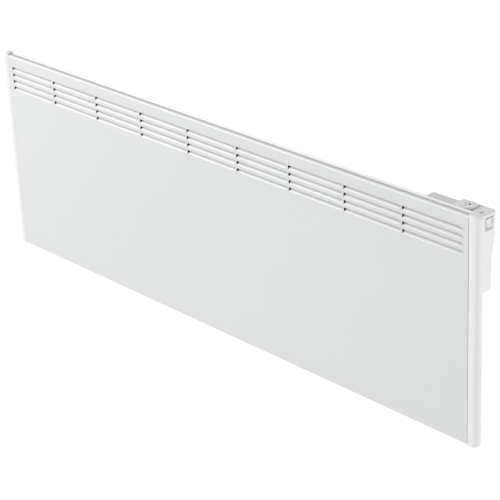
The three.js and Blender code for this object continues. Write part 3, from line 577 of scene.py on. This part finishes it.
def groove_shade_strip():
    """A grey strip along the bottom of the groove in the panel's top: its grey is painted shade for the
    groove.
    """
    half = across(PANEL_HIGH.x) - 0.4
    flange = height_of(PANEL_HIGH.z) - FLANGE_DROP
    front, rear = FOLD, LIP_START - 0.9
    fall = FLANGE_FALL * (rear - FOLD) / (LIP_START - 0.8 - FOLD)
    section = [(front, flange - 0.1), (rear, flange - fall - 0.1), (rear, flange - fall + 0.35)]
    section += [(rear - 0.3, flange - fall + 0.5), (front + 0.5, flange + 0.3), (front, flange + 0.05)]
    strip = loft([[at(x, depth, height) for depth, height in section] for x in (-half, half)])
    piece("groove_shade_strip", strip, "groove_shade_grey", bevel=0.1)


# ---------------------------------------------------------------- end caps

CAP_SHOULDERS = {"top": 7.5, "bottom": 5.0}  # radius of the outer corners, seen from the front
CAP_FRONT_ROLL = 0.5  # radius of the front and rear edges at the top and bottom
CAP_LEVELS = (0, 0.1, 0.3, 0.6, 1.0, 1.6, 2.3, 3.2, 4.5, 6.0, 7.5)  # heights round the shoulder


def rolled(radius, height):
    """How far a quarter-round of this radius stands back at a height above its foot."""
    if height >= radius:
        return 0
    return radius - math.sqrt(radius**2 - (radius - height) ** 2)


def cap_ring(side, height, from_end, shoulder):
    """One level of an end cap: along the front, round the outer edge and back along the rear."""
    seam = across(CAP_LOW.x)
    outer = across(CAP_HIGH.x) - rolled(shoulder, from_end)
    inset = rolled(CAP_FRONT_ROLL, from_end)
    rear = depth_of(CAP_HIGH.y) - inset
    front_radius = 7.5 - inset
    rear_radius = 5.0 - inset
    points = [(seam, inset + 0.9), (seam + 0.3, inset + 0.3), (seam + 0.9, inset)]
    points += arc(outer - front_radius, inset + front_radius, front_radius, -90, 0, 12)
    points += arc(outer - rear_radius, rear - rear_radius, rear_radius, 0, 90, 10)
    points += [(seam, rear)]
    return [at(side * x, depth, height) for x, depth in points]


def end_cap(word, side):
    """A moulded channel end whose top and bottom are rounded over like a bullet."""
    top = height_of(CAP_HIGH.z)
    foot, head = CAP_SHOULDERS["bottom"], CAP_SHOULDERS["top"]
    rings = [cap_ring(side, height, height, foot) for height in CAP_LEVELS]
    rings += [cap_ring(side, top - height, height, head) for height in reversed(CAP_LEVELS)]
    piece(f"cap_{word}", loft(rings), "white_plastic", stands_for=[f"end_cap_{word}"], bevel=0)


# ---------------------------------------------------------------- thermostat housing

STEP_HEIGHT = 4.0
PLATFORM_FRONT, PLATFORM_REAR = 536.0, 510.5  # where the raised top starts, at the housing's front and rear
LEAN_DEPTH, LEAN_LOW, LEAN_HIGH = 60.5, 290.0, 360.0
LEAN_STEPS = 8
SMALL_CORNER = 2.5
HOUSING_ROUND = 1.6
CORNER = 8.0
HOUSING_WALL = 2.5
HOUSING_VENTS = (516.5, 528.5, 540.5, 552.5)  # middles of the slots in the housing's underside
VENT_HALF_WIDTH, VENT_DEPTHS = 3.8, (24, 50)
WIRE_HOLE_DEPTH, WIRE_HOLE_HEIGHT, WIRE_HOLE_RADIUS = 40, 335, 5
SWITCH_GAP = 4.0  # depth of the open joint round the switch
SWITCH_MARGIN = 1.5


def lean_levels():
    """Heights that divide the stretch where the rear leans in."""
    return [LEAN_LOW + (LEAN_HIGH - LEAN_LOW) * i / LEAN_STEPS for i in range(LEAN_STEPS + 1)]


def housing_ring(height, inset, open_front=0):
    """The plan at one height, pushed out at the front for a cutter; the rear leans in at the bottom."""
    left, right = across(HOUSING_LOW.x), across(HOUSING_HIGH.x)
    front, rear = depth_of(HOUSING_LOW.y) - open_front, depth_of(HOUSING_HIGH.y)
    rise = min(1, max(0, (height - LEAN_LOW) / (LEAN_HIGH - LEAN_LOW)))
    smooth = rise * rise * (3 - 2 * rise)
    rear = LEAN_DEPTH + (rear - LEAN_DEPTH) * smooth - inset
    radius = CORNER - inset
    points = [(left + inset, front), (right - inset, front)]
    points += arc(right - inset - radius, rear - radius, radius, 0, 90, 12)
    points += arc(left + inset + SMALL_CORNER, rear - SMALL_CORNER, SMALL_CORNER, 90, 180, 5)
    return [at(x, depth, height) for x, depth in points]


def rolled_levels(low, high, edge):
    """(height, inset) pairs from the bottom to the top, with quarter-round edges."""
    turns = [math.radians(a) for a in (0, 15, 30, 45, 60, 75, 90)]
    start = [(low + edge * (1 - math.cos(t)), edge * (1 - math.sin(t))) for t in turns]
    middle = [(height, 0) for height in lean_levels()]
    end = [(high - (height - low), inset) for height, inset in reversed(start)]
    return start + middle + end


def prism(points, low, high):
    """A straight prism over (x, depth) points between two heights."""
    return loft([[at(x, depth, z) for x, depth in points] for z in (low, high)])


def slab(x_range, depth_range, height_range):
    """A box-shaped bmesh from ranges in millimetres."""
    built = bmesh.new()
    low, high = (at(*corner) for corner in zip(x_range, depth_range, height_range))
    add_block(built, low, high)
    return built


def step_cutter():
    """Takes away the top left of the housing, down to the height of the connection box."""
    left, rear = across(HOUSING_LOW.x) - 2, depth_of(HOUSING_HIGH.y) + 2
    front, top = depth_of(HOUSING_LOW.y) - 2, height_of(HOUSING_HIGH.z)
    plan = [(left, front), (PLATFORM_FRONT, front), (PLATFORM_REAR, rear), (left, rear)]
    return prism(plan, top - STEP_HEIGHT, top + 2)


def housing_cavity():
    """The hollow of the housing, open at the front where the base plate closes it."""
    floor_height = height_of(HOUSING_LOW.z) + HOUSING_WALL
    ceiling = height_of(HOUSING_HIGH.z) - STEP_HEIGHT - HOUSING_WALL
    levels = [floor_height, *lean_levels(), ceiling]
    return loft([housing_ring(height, HOUSING_WALL, 2) for height in levels])


def wire_hole():
    """A round way through the housing's left wall for the leads."""
    left = across(HOUSING_LOW.x)
    circle = list(arc(WIRE_HOLE_DEPTH, WIRE_HOLE_HEIGHT, WIRE_HOLE_RADIUS, 0, 345, 23))
    return loft([[at(x, depth, height) for depth, height in circle] for x in (left - 2, left + 5)])


def switch_range(margin):
    """(depths, heights) of the switch's rim, grown by a margin; the rim sits low and to the rear of it."""
    tight = min(margin, 0.2)
    depths = (depth_of(SWITCH_LOW.y) - margin, depth_of(SWITCH_HIGH.y) + tight)
    heights = (height_of(SWITCH_LOW.z) - tight, height_of(SWITCH_HIGH.z) + margin)
    return depths, heights


def dial_place():
    """(x, depth) of the dial's axis."""
    return across((DIAL_LOW.x + DIAL_HIGH.x) / 2), depth_of((DIAL_LOW.y + DIAL_HIGH.y) / 2)


def thermostat_housing():
    low, high = height_of(HOUSING_LOW.z), height_of(HOUSING_HIGH.z)
    right = across(HOUSING_HIGH.x)
    shell = loft([housing_ring(height, inset) for height, inset in rolled_levels(low, high, HOUSING_ROUND)])
    dial_x, dial_depth = dial_place()
    dial_radius = across(DIAL_HIGH.x - DIAL_LOW.x) / 2 + 0.9
    dial_seat = [(0, -0.7), (dial_radius, -0.7), (dial_radius, 2), (0, 2)]
    shaft_low, shaft_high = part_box("dial_shaft")
    shaft_hole = across(shaft_high.x - shaft_low.x) / 2 + 0.6
    shaft_way = [(0, -12), (shaft_hole, -12), (shaft_hole, 3), (0, 3)]
    lens_x = (across(LENS_LOW.x) - 0.2, across(LENS_HIGH.x) + 0.2)
    lens_depth = (depth_of(LENS_LOW.y) - 0.2, depth_of(LENS_HIGH.y) + 0.2)
    cutters = [
        step_cutter(),
        housing_cavity(),
        wire_hole(),
        slab((right - SWITCH_GAP, right + 2), *switch_range(SWITCH_MARGIN)),
        lathe(dial_seat, at(dial_x, dial_depth, high), 72),
        lathe(shaft_way, at(dial_x, dial_depth, high), 48),
        slab(lens_x, lens_depth, (high - 1.2, high + 2)),
    ]
    for middle in HOUSING_VENTS:
        sides = (middle - VENT_HALF_WIDTH, middle + VENT_HALF_WIDTH)
        cutters.append(slab(sides, VENT_DEPTHS, (low - 2, low + HOUSING_WALL + 1)))
    built = carved(shell, cutters)
    piece("thermostat_shell", built, "white_plastic", stands_for=["thermostat_housing"], bevel=0.35)


def index_mark():
    """A small raised pointer beside the dial."""
    top = height_of(HOUSING_HIGH.z)
    dial_x, dial_depth = dial_place()
    radius = across(DIAL_HIGH.x - DIAL_LOW.x) / 2 + 1.4
    direction = Vector((0.79, -0.61))
    side = Vector((-direction.y, direction.x))
    tip, root = radius, radius + 4.2
    corners = [direction * tip, direction * root + side * 1.9, direction * root - side * 1.9]
    plan = [(dial_x + c.x, dial_depth + c.y) for c in corners]
    piece("index_mark", prism(plan, top - 0.2, top + 0.35), "grey_print", bevel=0.1)


def lens():
    """The indicator window, with the short bars of its scale standing on it."""
    top = height_of(HOUSING_HIGH.z)
    x_low, x_high = across(LENS_LOW.x), across(LENS_HIGH.x)
    y_low, y_high = depth_of(LENS_LOW.y), depth_of(LENS_HIGH.y)
    window = slab((x_low, x_high), (y_low, y_high), (top - 1, top + 0.3))
    piece("lens_window", window, "lens", stands_for=["indicator_lens"], bevel=0.25)
    bars = bmesh.new()
    for i in range(3):
        depth = y_low + 0.9 + i * (y_high - y_low - 1.8) / 2
        add_block(bars, at(x_low + 0.6, depth - 0.4, top + 0.2), at(x_high - 0.6, depth + 0.4, top + 0.42))
    piece("lens_bars", bars, "grey_print", bevel=0.05)


# ---------------------------------------------------------------- dial

DIAL_RIBS = 36
TICKS = 8


def dial():
    """A knob wider at the top than at its foot, ribbed round, with a ring of ticks round a near-black spot:
    painted shade for the hole at its centre.
    """
    centre = at(*dial_place(), 0)
    centre.z = DIAL_LOW.z
    height = across(DIAL_HIGH.z - DIAL_LOW.z)
    rim = across(DIAL_HIGH.x - DIAL_LOW.x) / 2
    waist = rim - 1.9
    profile = [(0, 0), (waist, 0), (waist, 0.4), (rim - 0.35, height - 1.1), (rim, height - 0.8)]
    profile += [(rim, height - 0.4), (rim - 0.15, height - 0.1), (rim - 0.5, height), (rim - 1.3, height)]
    profile += [(rim - 1.7, height - 0.2), (2.6, height - 0.2), (2.2, height - 0.3), (0, height - 0.3)]
    built = lathe(profile, centre, DIAL_RIBS * 6)
    middle = centre.xy
    for vert in built.verts:
        up = across(vert.co.z - DIAL_LOW.z)
        offset = vert.co.xy - middle
        if up < height - 0.05 and across(offset.length) > waist - 0.1:
            wave = math.cos(DIAL_RIBS * math.atan2(offset.y, offset.x))
            offset *= 1 - 0.035 * (0.5 - 0.5 * wave)
            vert.co.x, vert.co.y = middle.x + offset.x, middle.y + offset.y
    piece("dial_knob", built, "white_plastic", body="dial", stands_for=["thermostat_dial"], bevel=0)
    ticks = bmesh.new()
    for i in range(TICKS):
        angle = math.radians(20 + i * 320 / TICKS)
        low = Vector((5.8, -0.5, height - 0.3)) * MM
        high = Vector((8.6, 0.5, height - 0.12)) * MM
        verts = add_block(ticks, low, high)
        bmesh.ops.rotate(ticks, verts=verts, cent=(0, 0, 0), matrix=Matrix.Rotation(angle, 3, "Z"))
        bmesh.ops.translate(ticks, verts=verts, vec=centre)
    piece("dial_ticks", ticks, "grey_print", body="dial", bevel=0)
    under, over = height - 0.35, height - 0.12
    # the near-black disc at the centre is painted shade standing for the hole there
    spot = [(0, under), (2.1, under), (2.1, height - 0.2), (1.8, over), (0, over)]
    piece("dial_hole_shade", lathe(spot, centre, 32), "painted_shade_black", body="dial", bevel=0)


# ---------------------------------------------------------------- rocker switch


def rocker_pivot():
    return Vector(next(joint["pos_m"] for joint in frame["joints"] if joint["name"] == "rocker_tip"))


def switch_rim():
    """The white rim of the switch, with a rolled edge and a well for the paddle."""
    depths, heights = switch_range(0)
    right = across(HOUSING_HIGH.x)
    face = across(SWITCH_HIGH.x)
    low, high = ROCKER_LOW, ROCKER_HIGH
    rocker_depths = (depth_of(low.y) - 0.25, depth_of(high.y) + 0.25)
    pivot = height_of(rocker_pivot().z)
    reach = max(height_of(high.z) - pivot, pivot - height_of(low.z)) + 0.5
    rocker_heights = (pivot - reach, pivot + reach)
    body = slab((right - 14, face), depths, heights)
    well = slab((face - 9, face + 1), rocker_depths, rocker_heights)
    built = carved(body, [well])
    piece("switch_rim", built, "white_plastic", stands_for=["rocker_switch_body"], bevel=0.4, segments=3)


def switch_joint_shade():
    """A dark ring that lines the joint between the switch's rim and the housing: painted shade for the shadow
    line in that joint.
    """
    face = across(HOUSING_HIGH.x) - 0.3
    ring = slab((face - 1.2, face), *switch_range(SWITCH_MARGIN - 0.1))
    opening = slab((face - 3, face + 3), *switch_range(0.1))
    piece("switch_joint_shade", carved(ring, [opening]), "black_plastic", bevel=0.1)


def rocker():
    """The paddle: a long block with two faces that meet in a shallow valley, tipped so its top is in."""
    low, high = ROCKER_LOW, ROCKER_HIGH
    pivot = rocker_pivot()
    half_width = across(high.y - low.y) / 2
    half_length, end, middle, heel = 7.2, 5.9, 4.5, 3.0
    profile = [(-heel, -2.0), (-0.5, -half_length + 0.6)]
    profile += [(end - 0.8, -half_length), (end - 0.2, -half_length + 0.15), (end, -half_length + 0.6)]
    steps = 10
    for i in range(1, steps):
        z = (-half_length + 0.6) * (1 - 2 * i / steps)
        share = abs(z) / half_length
        profile.append((middle + (end - middle) * share**1.35, z))
    profile += [(end, half_length - 0.6), (end - 0.2, half_length - 0.15), (end - 0.8, half_length)]
    profile += [(-0.5, half_length - 0.6), (-heel, 2.0)]
    turn = Matrix.Rotation(math.radians(-10), 3, "Y")
    rings = []
    for depth in (-half_width, half_width):
        ring = [turn @ (Vector((x, depth, z)) * MM) for x, z in profile]
        rings.append([pivot + p for p in ring])
    piece("rocker_face", loft(rings), "white_plastic", body="rocker", stands_for=["rocker_paddle"], bevel=0.3)


# ---------------------------------------------------------------- cover screws


def driver_slot(width, length, floor, turn):
    """One arm of the tapered cross that a driver fits, cut down to a floor height about the vertical axis."""
    built = bmesh.new()
    low, high = Vector((-length, -width, floor)), Vector((length, width, 3.0))
    verts = add_block(built, low * MM, high * MM)
    for vert in verts:
        if vert.co.z < 1.5 * MM:
            vert.co.x *= 0.4
    bmesh.ops.rotate(built, verts=verts, cent=(0, 0, 0), matrix=Matrix.Rotation(math.radians(turn), 3, "Z"))
    return built


def cover_screw(node, turn):
    """A pan-head screw in the connection cover, standing out towards the wall."""
    low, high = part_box(node)
    head, rise = across(high.x - low.x) / 2, 1.7
    shank, length = 2.0, across(high.y - low.y)
    profile = [(0, rise), (head * 0.5, rise - 0.08), (head * 0.8, rise - 0.35), (head * 0.95, rise - 0.8)]
    profile += [(head, 0.35), (head, 0), (shank, 0), (shank, rise - length), (0, rise - length)]
    screw = lathe(profile, Vector((0, 0, 0)), 48)
    built = carved(screw, [driver_slot(0.42, 2.6, 0.2, angle) for angle in (0, 90)])
    facing = Matrix.Rotation(math.radians(-90), 3, "X") @ Matrix.Rotation(math.radians(turn), 3, "Z")
    bmesh.ops.rotate(built, verts=built.verts, cent=(0, 0, 0), matrix=facing)
    middle = Vector(((low.x + high.x) / 2, high.y - rise * MM, (low.z + high.z) / 2))
    bmesh.ops.translate(built, verts=built.verts, vec=middle)
    piece(node.replace("screw", "screw_head"), built, "zinc_steel", stands_for=[node], bevel=0)


# ---------------------------------------------------------------- CAD nodes that stay

KEPT_FINISH = {
    "white_paint": ["back_panel", "connection_box", "connection_cover"],
    "white_plastic": ["housing_base"],
    "aluminium": ["heating_element", "heat_shield"],
    "dark_steel": ["element_sheath"],
    "ceramic": ["element_bush_left", "element_bush_right"],
    "black_plastic": [
        "bracket_latch_left", "bracket_latch_right",
        "lead_grommet", "relay", "capacitor", "temperature_sensor",
    ],
    "grey_plastic": ["terminal_block", "cable_inlet", "inlet_nut", "potentiometer", "dial_shaft"],
    "circuit_board": ["control_board"],
    "blue_insulation": ["lead_neutral"],
    "brown_insulation": ["lead_line", "lead_return"],
    "green_insulation": ["lead_earth"],
}
REPLACED = {
    "front_panel", "end_cap_left", "end_cap_right", "thermostat_housing", "thermostat_dial",
    "indicator_lens", "rocker_switch_body", "rocker_paddle", "cover_screw_1", "cover_screw_2",
}
EDGE = {"back_panel": 0.5, "connection_box": 0.7, "connection_cover": 0.3}


def finish_kept_nodes():
    """Gives each CAD node that still shows its own finish and soft edges."""
    finishes = {node: slot for slot, members in KEPT_FINISH.items() for node in members}
    for name, made in nodes.items():
        if name in REPLACED:
            continue
        made.data.materials.clear()
        made.data.materials.append(materials[finishes.get(name, "zinc_steel")])
        soften(made, EDGE.get(name, 0.2))


def paint_chamber_shade():
    """Paints the back panel's faces that look towards the front panel near-black: painted shade that makes
    the slots read dark.
    """
    mesh = nodes["back_panel"].data
    mesh.materials.append(materials["painted_shade_black"])
    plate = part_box("back_panel")[0].y
    for face in mesh.polygons:
        if face.center.y > plate - 1.0 * MM and face.normal.y < -0.1:
            face.material_index = 1


camera()
floor()
lighting()
front_panel()
groove_shade_strip()
end_cap("left", -1)
end_cap("right", 1)
thermostat_housing()
index_mark()
lens()
dial()
switch_rim()
switch_joint_shade()
rocker()
cover_screw("cover_screw_1", 20)
cover_screw("cover_screw_2", 65)
finish_kept_nodes()
paint_chamber_shade()
